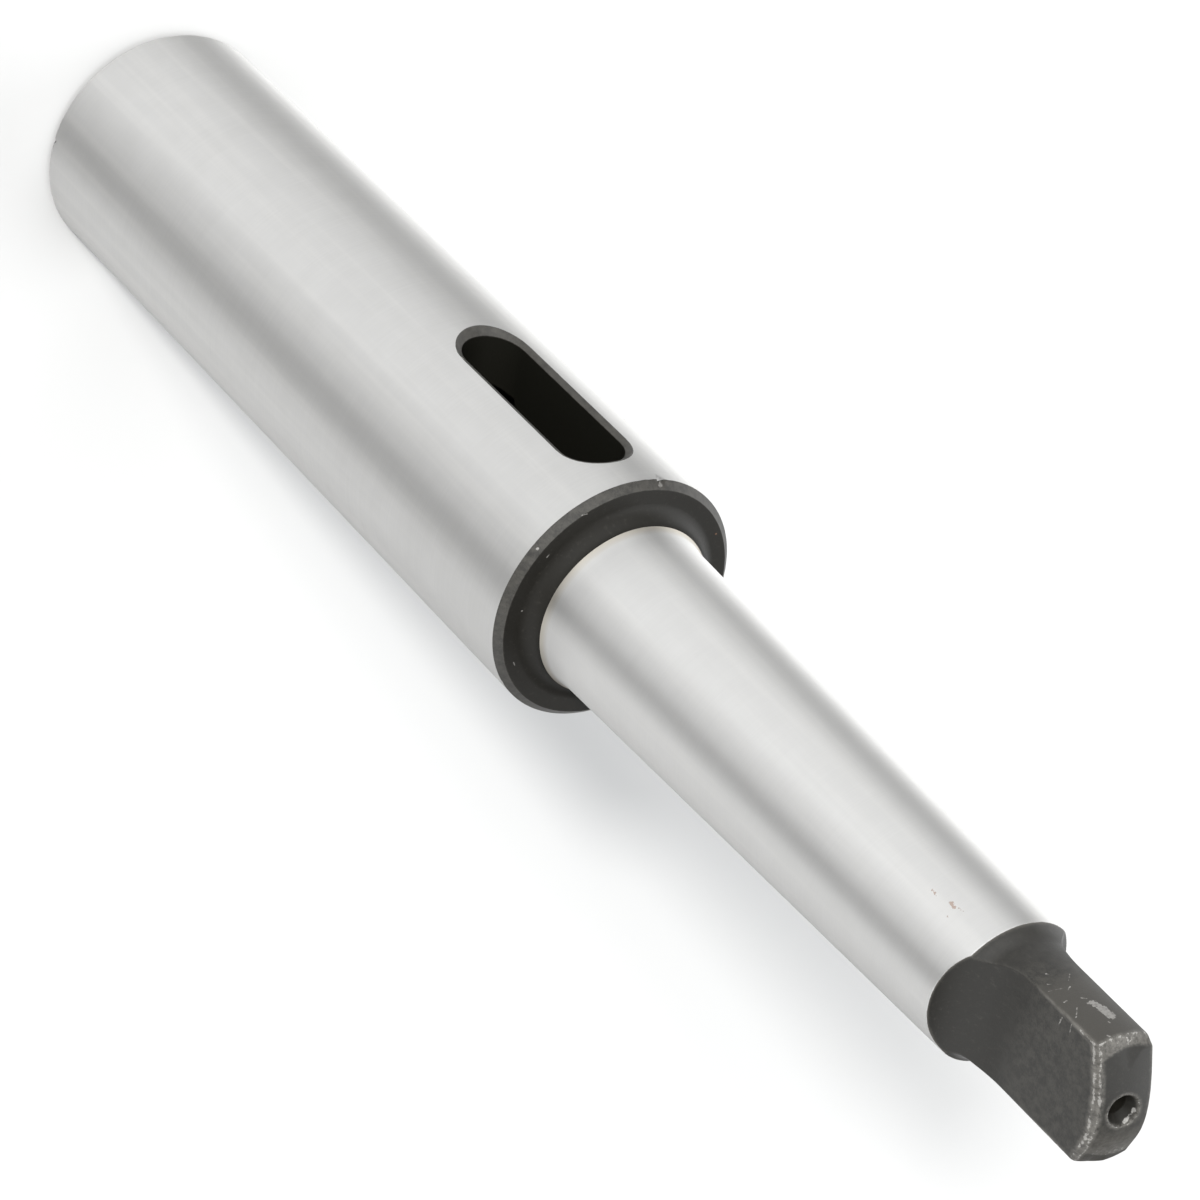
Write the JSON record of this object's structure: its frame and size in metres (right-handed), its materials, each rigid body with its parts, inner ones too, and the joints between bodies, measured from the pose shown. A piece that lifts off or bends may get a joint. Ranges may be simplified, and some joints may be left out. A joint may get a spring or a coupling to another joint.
{
  "type": "morse taper extension socket",
  "caption": "Steel extension socket: a round body with a tapered bore and a drift slot, and a ground tapered shank that ends in a flat driving tang.",
  "frame": {"origin": "centre of the mouth face, on which the part stands", "axes": "+Z along the axis from the mouth to the tang, Y along the drift slot's way through, X across the flats of the tang"},
  "size_m": [0.0264, 0.0264, 0.1732],
  "materials": {
    "steel": "ground bright on the body, the shank and the socket, black oxide on the shoulder, the end chamfers, the slot and the tang"
  },
  "bodies": {
    "root": {"extension_socket": "steel"}
  },
  "joints": []
}
